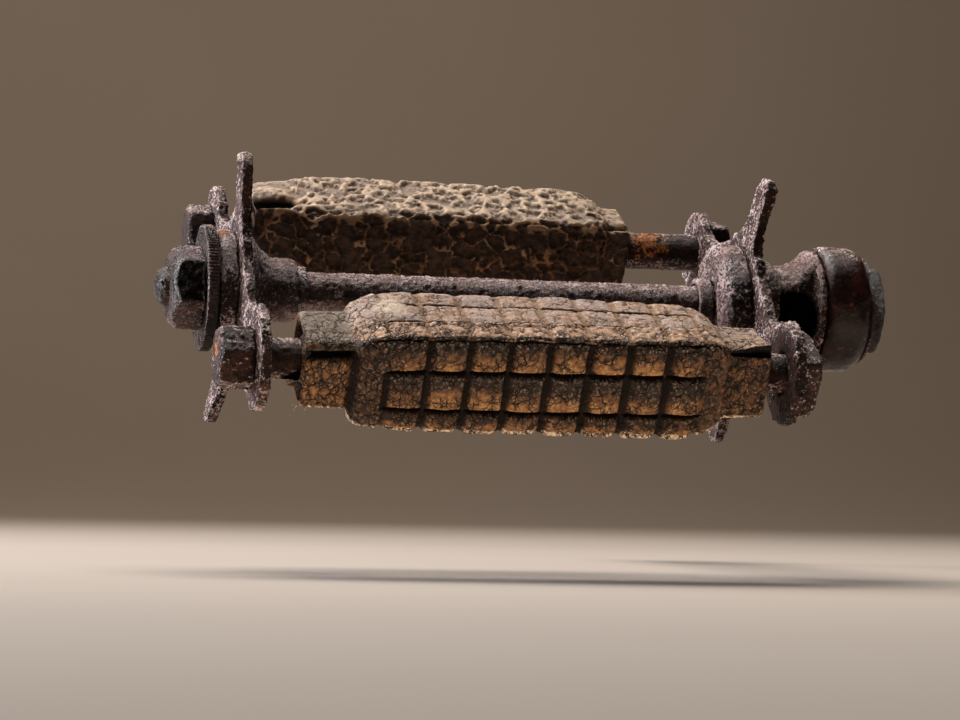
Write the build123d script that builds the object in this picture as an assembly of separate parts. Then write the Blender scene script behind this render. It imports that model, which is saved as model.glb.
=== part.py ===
from build123d import *
import os
from math import sin, cos, asin, radians, degrees

# Pedal of a high-wheel bicycle on its crank: a double-sided rubber-block
# pedal whose two horned plates are tied by two bolts and turn on a plain
# round spindle, and the crank arm that the spindle is nutted into.
#
# Row frame: +X along the pedal spindle from the outboard end to the crank,
# +Y from the pedal to the wheel axle, +Z up. The origin is the centre of the
# crank's axle bore. Millimetres, real size.
#
# Local frame of the pedal: x from the outboard plate's middle, the spindle
# axis at y = z = 0; platform frame: the same turned by platform_tilt about x.

os.makedirs("parts", exist_ok=True)

# ---- driving dimensions ----------------------------------------------------
platform_tilt = 25.0        # front rubber below the rear one, degrees
crank_throw = 140.0         # spindle axis to axle axis
crank_drop = 2.25           # the axle lies this much below the spindle, degrees

plate_gap = 101.6           # between the plates' inner faces, 4 in
plate_t = 2.4               # plate thickness
bolt_offset = 33.0          # rubber bolt to spindle axis
bolt_below = 0.9            # and this much below it, square to the platform
lobe_r = 10.2               # plate's round ends about the bolts
web_half = 5.8              # half height of the plate's neck by a round end
horn_root = 13.4            # where a bent horn leaves its plate
hub_seat_r = 9.5            # hub spigot through the plate

spindle_r = 3.95            # 5/16 in bar between the hubs
shank_r = 6.3               # spindle's shank through the crank eye
bolt_r = 3.95               # 5/16 in rubber bolts
fit_gap = 0.04              # bolt and spindle holes over their rods

rubber_end = 14.6           # square narrow end of a block
rubber_corner = 2.8

eye_r = 12.9                # crank's pedal eye
eye_t = 9.7
axle_eye_r = 17.0
axle_eye_t = 20.0
axle_bore_r = 8.0
keyway_w = 5.0
keyway_depth = 2.3

x_out = 0.0                                     # outboard plate's middle
x_in = plate_gap + plate_t                      # inboard plate's middle
out_l, out_r = -plate_t / 2, plate_t / 2        # outboard plate's faces
in_l, in_r = x_in - plate_t / 2, x_in + plate_t / 2
x_crank = 118.9                                 # crank's outboard face
x_axle_eye = x_crank - 1.0                      # axle eye's outboard face
x_origin = x_axle_eye + axle_eye_t / 2

drop = radians(crank_drop)
to_axle = Vector(0, cos(drop) * crank_throw, -sin(drop) * crank_throw)
place = Location((-x_origin, -to_axle.Y, -to_axle.Z))
tilt = Location((0, 0, 0), (platform_tilt, 0, 0))


# ---- helpers ---------------------------------------------------------------
def turned(rows):
    """Solid of revolution about x. rows: (x, radius), from low to high x."""
    pts = [(rows[0][0], 0)] + list(rows) + [(rows[-1][0], 0)]
    face = make_face(Polyline(*pts, close=True))
    return revolve(Plane.XY * face, Axis.X, 360)


def rod(r, x0, x1):
    return turned([(x0, r), (x1, r)])


def section(x, face):
    """Put a face drawn in (y, z) at a station x."""
    return Plane(origin=(x, 0, 0), x_dir=(0, 1, 0), z_dir=(1, 0, 0)) * face


def bar(face, x0, x1):
    return extrude(section(x0, face), amount=x1 - x0, dir=(1, 0, 0))


def block(side, x0, x1, corner=rubber_corner):
    return bar(RectangleRounded(side, side, corner), x0, x1)


def shoulder(side0, side1, x0, x1):
    a = section(x0, RectangleRounded(side0, side0, rubber_corner))
    b = section(x1, RectangleRounded(side1, side1, rubber_corner))
    return loft([a, b], ruled=True)


def hexagon(across_flats, turn):
    return RegularPolygon(across_flats / 2, 6, major_radius=False, rotation=turn)


def platform(solid, y=0.0, z=0.0):
    """Shift a local solid in the platform, tilt it, and put it in its place."""
    return place * (tilt * (Location((0, y, z)) * solid))


pieces = {}

# ---- spindle: one turned forging from the domed tip to the crank shank -----
# x, radius
spindle_rows = [
    (-16.4, 1.4), (-16.1, 2.5), (-15.4, 3.5), (-14.6, spindle_r),
    (100.4, spindle_r), (103.6, 7.0), (110.5, 7.0), (110.5, 8.6),
    (112.4, 8.7), (114.4, 9.3), (116.2, 10.5), (117.3, 11.8),
    (117.6, 12.1), (118.7, 12.1), (x_crank, 11.9), (x_crank, shank_r),
    (132.6, shank_r), (133.3, shank_r - 0.7)]
spindle = turned(spindle_rows)
# two spanner flats milled in the shoulder
flat_at = 7.6
for s in (-1, 1):
    spindle -= Location((115.6, s * (flat_at + 5), 0), (0, 0, 0)) * Box(3.6, 10, 40)
pieces["pedal_spindle"] = place * spindle

# ---- adjusting cone: disc that is knurled round its rim, cone inside -------
cone = turned([
    (-7.0, 8.3), (-6.7, 9.0), (-6.7, 11.1), (-7.4, 11.7), (-7.4, 12.2),
    (-7.1, 12.5), (-5.4, 12.5), (-5.1, 12.2), (-5.1, 8.2), (-1.6, 8.2),
    (1.0, 5.4)])
cone -= rod(spindle_r + fit_gap, -20, 10)
pieces["adjusting_cone"] = place * cone

# ---- lock nut: hexagon with a domed outer face -----------------------------
nut_af = 14.9
nut = bar(hexagon(nut_af, 22.5), -13.9, -7.0)
nut &= turned([(-13.9, 6.1), (-13.3, 7.1), (-12.2, 8.2), (-11.0, 9.2),
               (-7.6, 9.2), (-7.0, 8.3)])
nut -= rod(spindle_r + fit_gap, -20, 0)
pieces["lock_nut"] = place * nut

# ---- crank washer and nut on the shank's inboard end ------------------------
x_eye_end = x_crank + eye_t
washer = rod(11.3, x_eye_end, x_eye_end + 0.8) - rod(shank_r + fit_gap, 100, 140)
pieces["crank_washer"] = place * washer
x_nut = x_eye_end + 0.8
cnut = bar(hexagon(17.4, 5.0), x_nut, x_nut + 2.9)
cnut &= turned([(x_nut, 9.7), (x_nut + 0.4, 10.2), (x_nut + 1.8, 10.2),
                (x_nut + 2.9, 8.8)])
cnut -= rod(shank_r + fit_gap, 100, 140)
pieces["crank_nut"] = place * cnut

# ---- crank arm: pedal eye, tapering arm, axle eye with a keyway -------------
eye = turned([(x_crank, 11.9), (x_crank + 1.0, eye_r), (x_crank + 7.2, eye_r),
              (x_crank + 9.0, 11.9), (x_eye_end, 10.9)])
arm_mid = x_crank + eye_t / 2
along = Plane(origin=(arm_mid, 0, 0), x_dir=(1, 0, 0),
              z_dir=(0, cos(drop), -sin(drop)))
# distance from the pedal axis, thickness along x, width
arm_rows = [(7.0, 8.6, 18.0), (60.0, 9.0, 17.5), (crank_throw - 8.0, 9.6, 25.0)]
arm = None
for a, b in zip(arm_rows, arm_rows[1:]):
    low = along.offset(a[0]) * RectangleRounded(a[1], a[2], 2.4)
    high = along.offset(b[0]) * RectangleRounded(b[1], b[2], 2.4)
    span = loft([low, high], ruled=True)
    arm = span if arm is None else arm + span
axle_eye = turned([
    (x_axle_eye, axle_eye_r - 1.2), (x_axle_eye + 1.2, axle_eye_r),
    (x_axle_eye + axle_eye_t - 1.2, axle_eye_r),
    (x_axle_eye + axle_eye_t, axle_eye_r - 1.2)])
crank = eye + arm + Location(to_axle) * axle_eye
crank -= rod(shank_r + fit_gap, 100, 150)
crank -= Location(to_axle) * rod(axle_bore_r, 100, 150)
key_z = axle_bore_r + keyway_depth / 2 - 1.0
crank -= Location(to_axle) * (Location((x_origin, 0, key_z)) *
                              Box(60, keyway_w, keyway_depth + 2.0))
pieces["crank_arm"] = place * crank

# ---- horned plates -----------------------------------------------------------
# plate, its outboard face, its front and rear round ends' radii, then for the
# upper and the lower horn: the tip's distance from the spindle axis, half its
# width at the tip and near the root, and how far it is bent along x
plates = [
    ("outboard", out_l, lobe_r, lobe_r,
     (27.8, 3.6, 4.6, -0.4), (29.0, 3.4, 5.0, -3.3)),
    ("inboard", in_l, lobe_r, lobe_r - 1.4,
     (27.4, 3.4, 3.9, 2.2), (30.3, 3.4, 5.0, -1.0))]


def horn(x0, up, reach, half, wide, bend):
    """Horn above (up = 1) or below the hub, leaning along x from its root."""
    right = [(half * 0.45, reach), (half * 0.8, reach - 1.4),
             (half, reach - 3.6), (wide, 17.0), (wide + 1.1, 15.0),
             (wide + 2.7, horn_root - 0.8)]
    outline = right + [(-y, z) for y, z in reversed(right)]
    face = make_face(Polyline(*[(y, up * z) for y, z in outline], close=True))
    lean = up * degrees(asin(bend / (reach - horn_root)))
    root = Location((x0 + plate_t / 2, 0, up * horn_root))
    return (root * Rotation(0, lean, 0) * root.inverse()) * bar(face, x0, x0 + plate_t)


def plate(x0, front_r, rear_r, upper, lower):
    right = [(8.2, 13.4), (9.8, 11.0), (13.2, 9.4), (16.6, 7.8), (19.6, 6.4),
             (23.0, web_half), (bolt_offset - 5.0, web_half)]
    outline = (right + [(y, -z) for y, z in reversed(right)]
               + [(-y, -z) for y, z in right] + [(-y, z) for y, z in reversed(right)])
    face = make_face(Polyline(*outline, close=True))
    for s, r in ((-1, front_r), (1, rear_r)):
        face += Location((s * bolt_offset, -bolt_below)) * Circle(r)
    body = bar(face, x0, x0 + plate_t) + horn(x0, 1, *upper) + horn(x0, -1, *lower)
    body -= rod(hub_seat_r, x0 - 1, x0 + plate_t + 1)
    for s in (-1, 1):
        body -= Location((0, s * bolt_offset, -bolt_below)) * rod(
            bolt_r + fit_gap, x0 - 1, x0 + plate_t + 1)
    return body


for name, x0, *shape in plates:
    pieces[name + "_plate"] = platform(plate(x0, *shape))

# ---- hubs: one bearing cup in each plate --------------------------------------
hub_out = turned([
    (-4.5, 11.2), (-4.1, 11.7), (out_l, 11.7), (out_l, hub_seat_r),
    (out_r, hub_seat_r), (out_r, 11.2), (2.2, 11.0), (3.2, 9.6), (4.6, 7.9),
    (6.3, 6.6), (6.9, 6.5), (10.4, 6.5), (11.6, 5.9)])
hub_out -= turned([(-10, 8.9), (1.6, 8.9), (3.4, 5.0), (20, 5.0)])
pieces["outboard_hub"] = platform(hub_out)

hub_in = turned([
    (96.9, 9.6), (97.4, 11.2), (98.6, 12.4), (in_l, 12.4), (in_l, hub_seat_r),
    (in_r, hub_seat_r), (in_r, 10.2), (106.0, 9.7), (109.2, 9.5),
    (109.9, 8.9)])
hub_in -= turned([(90, 5.0), (98.0, 5.0), (100.0, 7.9), (120, 7.9)])
pieces["inboard_hub"] = platform(hub_in)

# dust rings in the hubs' inner mouths, just clear of the spindle
# name, table of (x, radius)
rings = [
    ("outboard_dust_ring", [(11.6, 4.9), (13.1, 5.0), (13.5, 4.8)]),
    ("inboard_dust_ring", [(93.8, 5.2), (94.2, 5.5), (96.9, 5.5)])]
for name, rows in rings:
    ring = turned(rows) - rod(spindle_r + 0.3, 0, 110)
    pieces[name] = platform(ring)

# ---- rubber bolts with hexagon heads outboard, square nuts inboard -------------
# name, side of the platform (-1 front, +1 rear), the head's thickness and turn,
# and the nut's turn, against the platform
bolts = [("front", -1, 7.0, 25.8, 10.0), ("rear", 1, 5.5, -4.0, -14.0)]
square_nut_t = 4.0
for name, s, head_t, head_turn, nut_turn in bolts:
    head = bar(hexagon(11.1, head_turn), out_l - head_t, out_l)
    head &= turned([(out_l - head_t, 5.0), (out_l - head_t + 1.2, 6.5),
                    (out_l, 6.5)])
    tip = in_r + square_nut_t + 1.2
    shank = turned([(out_l - 1.0, bolt_r), (tip - 0.6, bolt_r),
                    (tip, bolt_r - 0.6)])
    pieces[name + "_bolt"] = platform(head + shank, s * bolt_offset, -bolt_below)
    square = bar(Rotation(0, 0, nut_turn) * Rectangle(12.7, 12.7),
                 in_r, in_r + square_nut_t)
    square &= turned([(in_r, 8.8), (in_r + 2.8, 8.8), (in_r + square_nut_t, 7.4)])
    square -= rod(bolt_r + fit_gap, 90, 130)
    pieces[name + "_bolt_nut"] = platform(square, s * bolt_offset, -bolt_below)

# ---- rubber blocks -------------------------------------------------------------
# name, side, how far it has turned forwards on its bolt, width over its raised
# pads, narrow end from, main body from, full section from, full section to, main
# body to, narrow end to
blocks = [
    ("front", -1, 5.0, 21.6, 7.6, 16.3, 19.8, 85.0, 89.8, 98.2),
    ("rear", 1, 4.0, 20.9, 6.6, 15.2, 18.0, 79.4, 82.9, 86.5)]
for name, s, turn, main, n0, m0, f0, f1, m1, n1 in blocks:
    rubber = (block(rubber_end, n0, m0) + shoulder(17.0, main, m0, f0)
              + block(main, f0, f1)
              + shoulder(main, 17.0, f1, m1) + block(rubber_end, m1, n1))
    rubber = Rotation(turn, 0, 0) * rubber
    rubber -= rod(bolt_r + fit_gap, 0, 120)
    pieces[name + "_rubber"] = platform(rubber, s * bolt_offset, -bolt_below)

# ---- one file for each piece ------------------------------------------------
for name, solid in pieces.items():
    if isinstance(solid, ShapeList) or len(solid.solids()) != 1:
        raise SystemExit(name + " is not one solid")
    out = solid.solids()[0]
    out.label = name
    export_step(out, "parts/" + name + ".step")
    print(name, round(out.volume, 1))
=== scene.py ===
import math
import bmesh
import bpy
import numpy as np
from mathutils import Matrix, Vector


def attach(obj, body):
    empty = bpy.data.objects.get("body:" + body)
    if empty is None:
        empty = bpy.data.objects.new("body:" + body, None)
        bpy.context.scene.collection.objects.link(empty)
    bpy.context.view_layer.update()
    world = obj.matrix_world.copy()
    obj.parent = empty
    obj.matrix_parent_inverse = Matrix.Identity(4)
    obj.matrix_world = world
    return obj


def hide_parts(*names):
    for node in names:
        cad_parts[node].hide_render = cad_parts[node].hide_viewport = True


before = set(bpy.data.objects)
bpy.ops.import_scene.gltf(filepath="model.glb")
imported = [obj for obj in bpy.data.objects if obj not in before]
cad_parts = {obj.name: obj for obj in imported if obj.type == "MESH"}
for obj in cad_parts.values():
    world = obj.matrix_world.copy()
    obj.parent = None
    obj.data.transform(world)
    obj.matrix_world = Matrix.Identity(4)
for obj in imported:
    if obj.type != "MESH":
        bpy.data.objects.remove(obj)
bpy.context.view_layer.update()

# Meshes are shaped in millimetres in the pedal's own frame: x from the outboard
# plate's middle, the spindle axis at y = z = 0. "platform" is turned by the
# platform's tilt about that axis, "spindle" isn't.
TILT = 25.0
PEDAL = Vector((-127.9, -139.892, 5.496))
BOLT_Y, BOLT_Z = 33.0, -0.9
OUTBOARD_X, INBOARD_X, PLATE_T = 0.0, 104.0, 2.4
to_row = {
    "platform": Matrix.Translation(PEDAL) @ Matrix.Rotation(math.radians(TILT), 4, "X"),
    "spindle": Matrix.Translation(PEDAL),
}


# ---- camera -------------------------------------------------------------------
def make_camera():
    pos = (Vector((-89.244, -598.949, -39.005)) + PEDAL) / 1000
    yaw, pitch, roll = (math.radians(a) for a in (13.045, 2.4615, 1.1422))
    forward = Vector((math.sin(yaw) * math.cos(pitch),
                      math.cos(yaw) * math.cos(pitch), math.sin(pitch)))
    level = Vector((math.cos(yaw), -math.sin(yaw), 0))
    above = level.cross(forward)
    right = level * math.cos(roll) + above * math.sin(roll)
    up = above * math.cos(roll) - level * math.sin(roll)
    m = Matrix((right, up, -forward)).transposed().to_4x4()
    m.translation = pos
    data = bpy.data.cameras.new("camera")
    data.sensor_width = 36
    data.lens = 3067.0 / 960 * 36
    data.clip_start, data.clip_end = 0.01, 20
    cam = bpy.data.objects.new("camera", data)
    bpy.context.scene.collection.objects.link(cam)
    cam.matrix_world = m
    bpy.context.scene.camera = cam


make_camera()


# ---- textures that geometry and materials share ---------------------------------
# Every piece keeps its undisplaced place in the attribute "rest" (millimetres),
# so that a crack or pit cut in the mesh lies where the material colours it.
def texture(tree, vec, kind, f, detail=2.0, rough=0.5, warp=None, stretch=None,
            shift=0.0, random=1.0):
    """Output socket of a texture of frequency f per mm at vec, in a shader or a
    geometry tree. kind: noise, edge, cell, tint. warp: (frequency, mm)."""
    nodes, links = tree.nodes, tree.links

    def vmath(op, a, b):
        n = nodes.new("ShaderNodeVectorMath")
        n.operation = op
        for i, v in enumerate((a, b)):
            if isinstance(v, tuple):
                n.inputs[i].default_value = v
            else:
                links.new(v, n.inputs[i])
        return n.outputs["Vector"]

    if warp:
        w = nodes.new("ShaderNodeTexNoise")
        w.inputs["Scale"].default_value = warp[0]
        w.inputs["Detail"].default_value = 2.0
        links.new(vmath("ADD", vec, (31.7 + shift, 11.3, 5.9)), w.inputs["Vector"])
        push = vmath("SUBTRACT", w.outputs["Color"], (0.5, 0.5, 0.5))
        vec = vmath("ADD", vec, vmath("MULTIPLY", push, (warp[1] * 2,) * 3))
    sx, sy, sz = stretch or (1, 1, 1)
    vec = vmath("MULTIPLY", vec, (f * sx, f * sy, f * sz))
    vec = vmath("ADD", vec, (shift * 1.37, shift * 0.71 + 3.1, shift * 2.03 + 7.7))
    if kind == "noise":
        n = nodes.new("ShaderNodeTexNoise")
        n.inputs["Detail"].default_value = detail
        n.inputs["Roughness"].default_value = rough
        out = n.outputs[0]
    else:
        n = nodes.new("ShaderNodeTexVoronoi")
        n.feature = "DISTANCE_TO_EDGE" if kind == "edge" else "F1"
        n.inputs["Detail"].default_value = 0.0
        n.inputs["Randomness"].default_value = random
        out = n.outputs["Color" if kind == "tint" else "Distance"]
        if kind == "tint":
            sep = nodes.new("ShaderNodeSeparateXYZ")
            links.new(out, sep.inputs[0])
            out = sep.outputs["X"]
    n.inputs["Scale"].default_value = 1.0
    links.new(vec, n.inputs["Vector"])
    return out


def evaluated(obj):
    dg = bpy.context.evaluated_depsgraph_get()
    return bpy.data.meshes.new_from_object(
        obj.evaluated_get(dg), preserve_all_data_layers=True, depsgraph=dg)


def with_modifier(mesh, kind, setup):
    """A new mesh: mesh with one modifier applied."""
    obj = bpy.data.objects.new("work", mesh)
    bpy.context.scene.collection.objects.link(obj)
    setup(obj.modifiers.new("m", kind))
    out = evaluated(obj)
    bpy.data.objects.remove(obj)
    return out


def fields(pts, specs, shift=0.0):
    """Values of named textures at points in mm. specs: name -> texture arguments."""
    tree = bpy.data.node_groups.new("fields", "GeometryNodeTree")
    tree.interface.new_socket("Geometry", in_out="INPUT", socket_type="NodeSocketGeometry")
    tree.interface.new_socket("Geometry", in_out="OUTPUT", socket_type="NodeSocketGeometry")
    geo = tree.nodes.new("NodeGroupInput").outputs[0]
    pos = tree.nodes.new("GeometryNodeInputPosition").outputs[0]
    for name, spec in specs.items():
        store = tree.nodes.new("GeometryNodeStoreNamedAttribute")
        store.data_type, store.domain = "FLOAT", "POINT"
        store.inputs["Name"].default_value = name
        spec = dict(spec)
        spec["shift"] = spec.get("shift", 0.0) + shift
        tree.links.new(texture(tree, pos, **spec), store.inputs["Value"])
        tree.links.new(geo, store.inputs["Geometry"])
        geo = store.outputs[0]
    tree.links.new(geo, tree.nodes.new("NodeGroupOutput").inputs[0])
    mesh = bpy.data.meshes.new("pts")
    mesh.vertices.add(len(pts))
    mesh.vertices.foreach_set("co", np.asarray(pts, np.float32).ravel())
    out = with_modifier(mesh, "NODES", lambda m: setattr(m, "node_group", tree))
    got = {}
    for name in specs:
        a = np.empty(len(pts), np.float32)
        out.attributes[name].data.foreach_get("value", a)
        got[name] = a.astype(float)
    bpy.data.meshes.remove(out)
    bpy.data.node_groups.remove(tree)
    return got


# ---- mesh arrays ------------------------------------------------------------------
def ramp(x, a, b):
    """Smooth step from 0 at a to 1 at b."""
    t = np.clip((np.asarray(x, float) - a) / (b - a), 0, 1)
    return t * t * (3 - 2 * t)


def bell(x, width):
    return np.exp(-(np.asarray(x, float) / width) ** 2)


def verts_of(mesh):
    a = np.empty(len(mesh.vertices) * 3, np.float32)
    mesh.vertices.foreach_get("co", a)
    return a.reshape(-1, 3).astype(float)


def edges_of(mesh):
    a = np.empty(len(mesh.edges) * 2, np.int32)
    mesh.edges.foreach_get("vertices", a)
    return a.reshape(-1, 2)


def normals_of(mesh):
    a = np.empty(len(mesh.vertices) * 3, np.float32)
    mesh.vertex_normals.foreach_get("vector", a)
    return a.reshape(-1, 3).astype(float)


def set_verts(mesh, v):
    mesh.vertices.foreach_set("co", np.asarray(v, np.float32).ravel())
    mesh.update()


def averaged(v, e, times, share=0.5):
    """Values or places at the vertices, averaged with their neighbours."""
    v = np.asarray(v, float)
    n = len(v)
    count = np.maximum(np.bincount(e.ravel(), minlength=n), 1)
    flat = v.reshape(n, -1).copy()
    for _ in range(times):
        for k in range(flat.shape[1]):
            c = flat[:, k]
            s = (np.bincount(e[:, 0], c[e[:, 1]], n)
                 + np.bincount(e[:, 1], c[e[:, 0]], n))
            flat[:, k] = c * (1 - share) + s / count * share
    return flat.reshape(v.shape)


def keep(mesh, name, values):
    kind = "FLOAT_VECTOR" if values.ndim == 2 else "FLOAT"
    a = mesh.attributes.new(name, kind, "POINT")
    a.data.foreach_set("vector" if values.ndim == 2 else "value",
                       np.asarray(values, np.float32).ravel())


def grid_mesh(name, rows, closed=True):
    """Mesh of a grid of rings: rows is (rings, points, 3). closed joins the last
    ring to the first."""
    ni, nj, _ = rows.shape
    idx = np.arange(ni * nj).reshape(ni, nj)
    a = idx if closed else idx[:-1]
    b = np.roll(idx, -1, 0) if closed else idx[1:]
    faces = np.stack([a, b, np.roll(b, -1, 1), np.roll(a, -1, 1)], -1).reshape(-1, 4)
    mesh = bpy.data.meshes.new(name)
    mesh.vertices.add(ni * nj)
    mesh.vertices.foreach_set("co", rows.astype(np.float32).ravel())
    mesh.loops.add(faces.size)
    mesh.loops.foreach_set("vertex_index", faces.astype(np.int32).ravel())
    mesh.polygons.add(len(faces))
    mesh.polygons.foreach_set("loop_start", np.arange(0, faces.size, 4, dtype=np.int32))
    mesh.update(calc_edges=True)
    return mesh


def finish_piece(name, mesh, where, body, node, material):
    """Put a mesh from its local frame, in mm, into the row frame, in metres."""
    m = np.array(to_row[where])
    v = verts_of(mesh) @ m[:3, :3].T + m[:3, 3]
    set_verts(mesh, v / 1000)
    mesh.polygons.foreach_set("use_smooth", np.ones(len(mesh.polygons), bool))
    mesh.update()
    mesh.materials.clear()
    mesh.materials.append(material)
    obj = bpy.data.objects.new(name, mesh)
    bpy.context.scene.collection.objects.link(obj)
    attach(obj, body)
    if node:
        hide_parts(node)
    return obj


# ---- material helpers ---------------------------------------------------------------
class Look:
    """Builds one material's nodes."""

    def __init__(self, name):
        self.mat = bpy.data.materials.new(name)
        self.mat.use_nodes = True
        self.tree = self.mat.node_tree
        self.bsdf = self.tree.nodes["Principled BSDF"]
        self.rest = self.attr("rest", "Vector")

    def attr(self, name, out="Fac"):
        n = self.tree.nodes.new("ShaderNodeAttribute")
        n.attribute_name = name
        return n.outputs[out]

    def tex(self, kind, f, **k):
        return texture(self.tree, self.rest, kind, f, **k)

    def put(self, socket, v):
        if isinstance(v, (int, float)):
            socket.default_value = v
        elif isinstance(v, tuple):
            socket.default_value = (*v, 1) if len(v) == 3 else v
        else:
            self.tree.links.new(v, socket)

    def math(self, op, a, b=0.0, c=None, clamp=False):
        n = self.tree.nodes.new("ShaderNodeMath")
        n.operation, n.use_clamp = op, clamp
        self.put(n.inputs[0], a)
        self.put(n.inputs[1], b)
        if c is not None:
            self.put(n.inputs[2], c)
        return n.outputs[0]

    def add(self, a, b):
        return self.math("ADD", a, b)

    def mul(self, a, b):
        return self.math("MULTIPLY", a, b)

    def step(self, v, a, b):
        """Smooth step of v from 0 at a to 1 at b; a may be the larger."""
        n = self.tree.nodes.new("ShaderNodeMapRange")
        n.interpolation_type = "SMOOTHSTEP"
        self.put(n.inputs["Value"], v)
        lo, hi, t0, t1 = (a, b, 0.0, 1.0) if a < b else (b, a, 1.0, 0.0)
        for k, x in (("From Min", lo), ("From Max", hi), ("To Min", t0), ("To Max", t1)):
            n.inputs[k].default_value = x
        return n.outputs[0]

    def mix(self, share, a, b, blend="MIX"):
        n = self.tree.nodes.new("ShaderNodeMix")
        n.data_type, n.blend_type = "RGBA", blend
        n.clamp_factor = True
        self.put(n.inputs[0], share)
        self.put(n.inputs[6], a)
        self.put(n.inputs[7], b)
        return n.outputs[2]

    def bump(self, height, mm, normal=None):
        n = self.tree.nodes.new("ShaderNodeBump")
        n.inputs["Strength"].default_value = 1.0
        n.inputs["Distance"].default_value = mm / 1000
        self.put(n.inputs["Height"], height)
        if normal is not None:
            self.put(n.inputs["Normal"], normal)
        return n.outputs[0]

    def done(self, color, rough, normal, **constants):
        self.put(self.bsdf.inputs["Base Color"], color)
        self.put(self.bsdf.inputs["Roughness"], rough)
        self.put(self.bsdf.inputs["Normal"], normal)
        for k, v in constants.items():
            self.bsdf.inputs[k.replace("_", " ")].default_value = v
        return self.mat


# ---- rusty steel ----------------------------------------------------------------------
def rusty(name, dark=(0.011, 0.0060, 0.0048), brown=(0.038, 0.0165, 0.0105),
          violet=(0.040, 0.025, 0.024), light=(0.65, 0.512, 0.485), cover=0.0,
          gloss=0.30, shift=0.0, sheen=0.25, relief=0.55, film=(0.165, 0.104, 0.097),
          filmy=0.50):
    """Old steel: dark brown, patches of brown and violet rust, sand-like grains on the
    crests and, with a pale film, wherever the dust attribute says (dust on what faces up
    and outboard, painted light from below on what faces down), dark pits, near-black
    painted shade where the soot balls lie, orange rust where "orange" says."""
    L = Look(name)
    crest, dust_and_underlight = L.attr("crest"), L.attr("dust_and_underlight")
    orange, pit = L.attr("orange"), L.attr("pit")
    broad = L.tex("noise", 0.20, detail=3.0, rough=0.6, shift=shift)
    mid = L.tex("noise", 0.75, detail=3.0, rough=0.6, shift=shift + 3)
    fine = L.tex("noise", 1.65, detail=5.0, rough=0.70, shift=shift + 5)
    grain = L.tex("cell", 2.1, warp=(2.4, 0.16), shift=shift + 9)
    color = L.mix(L.step(broad, 0.40, 0.62), dark, brown)
    color = L.mix(L.mul(L.step(mid, 0.50, 0.66), 0.65), color, violet)
    color = L.mix(L.mul(L.step(fine, 0.47, 0.36), 0.75), color, (0.005, 0.0035, 0.0030))
    color = L.mix(L.mul(pit, 0.7), color, (0.006, 0.004, 0.0035))
    # a pale film where the dust attribute says: dust, and painted light from below on what faces down
    haze = L.step(L.add(dust_and_underlight, L.add(L.mul(L.add(mid, -0.5), 1.1), L.mul(L.add(broad, -0.5), 0.6))),
                  0.25, 0.95)
    color = L.mix(L.mul(haze, filmy), color, film)
    color = L.mix(L.mul(L.step(fine, 0.475, 0.40), L.add(0.30, L.mul(dust_and_underlight, 0.50))), color,
                  (0.014, 0.0080, 0.0068))
    # grains: in clusters, a few anywhere, half of the surface where the dust attribute says, which on what faces
    # down is painted light from below
    cluster = L.tex("noise", 0.34, detail=2.0, shift=shift + 33)
    g = L.add(fine, L.mul(L.add(L.step(grain, 0.55, 0.10), -0.5), 0.13))
    g = L.add(g, L.mul(L.add(cluster, -0.5), 0.42))
    g = L.add(g, L.add(L.mul(crest, 0.05), L.mul(L.add(mid, -0.5), 0.30)))
    g = L.add(g, L.mul(L.add(dust_and_underlight, -1.0), 0.26 - cover * 0.30))
    g = L.add(g, max(cover, -0.10) * 0.12)
    sand = L.tex("noise", 2.5, detail=2.0, rough=0.6, shift=shift + 13)
    g = L.add(g, L.mul(L.add(sand, -0.5), 0.32))
    grains = L.step(g, 0.500, 0.545)
    pale = L.mix(L.step(broad, 0.42, 0.60), light, tuple(c * k for c, k in zip(light, (0.66, 0.60, 0.58))))
    color = L.mix(L.mul(grains, 0.78), color, pale)
    # painted shade: near-black colour, without specular, in the shaded places that the shade balls mark
    painted_shade = L.step(L.add(L.attr("painted_shade"), L.mul(L.add(mid, -0.5), 0.5)), 0.15, 0.50)
    color = L.mix(painted_shade, color, (0.0025, 0.0018, 0.0016))
    # fresh rust
    red = L.mix(L.step(fine, 0.42, 0.60), (0.200, 0.050, 0.016), (0.560, 0.205, 0.045))
    fresh = L.add(L.mul(orange, 0.8), L.add(L.mul(L.add(mid, -0.5), 1.6), L.mul(L.add(fine, -0.5), 0.8)))
    color = L.mix(L.mul(L.step(fresh, 0.34, 0.60), L.step(orange, 0.0, 0.1)), color, red)
    spots = L.mul(L.step(L.tex("noise", 0.7, detail=3.0, shift=shift + 21), 0.62, 0.73), 0.6)
    spots = L.mul(spots, L.add(1.0, L.mul(painted_shade, -1.0)))
    color = L.mix(spots, color, (0.120, 0.036, 0.018))
    rough = L.add(L.mul(grains, 0.42), gloss)
    rough = L.add(rough, L.mul(L.add(mid, -0.5), 0.30))
    height = L.add(L.add(fine, L.mul(sand, 0.45)), L.mul(grains, 0.20))
    dull = L.math("MAXIMUM", L.mul(grains, 0.85), painted_shade)
    L.put(L.bsdf.inputs["Specular IOR Level"], L.mul(L.add(L.mul(dull, -1.0), 1.0), sheen))
    return L.done(color, rough, L.bump(height, relief), Metallic=0.0)


def cad_mesh(node, where):
    """A copy of a CAD node's mesh in its local frame, in mm, welded."""
    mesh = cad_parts[node].data.copy()
    m = np.linalg.inv(np.array(to_row[where]))
    set_verts(mesh, verts_of(mesh) * 1000 @ m[:3, :3].T + m[:3, 3])
    bm = bmesh.new()
    bm.from_mesh(mesh)
    bmesh.ops.remove_doubles(bm, verts=bm.verts, dist=0.002)
    bm.to_mesh(mesh)
    bm.free()
    while mesh.attributes and len([a for a in mesh.attributes if not a.is_required
                                   and not a.is_internal]):
        mesh.attributes.remove([a for a in mesh.attributes
                                if not a.is_required and not a.is_internal][0])
    return mesh


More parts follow.
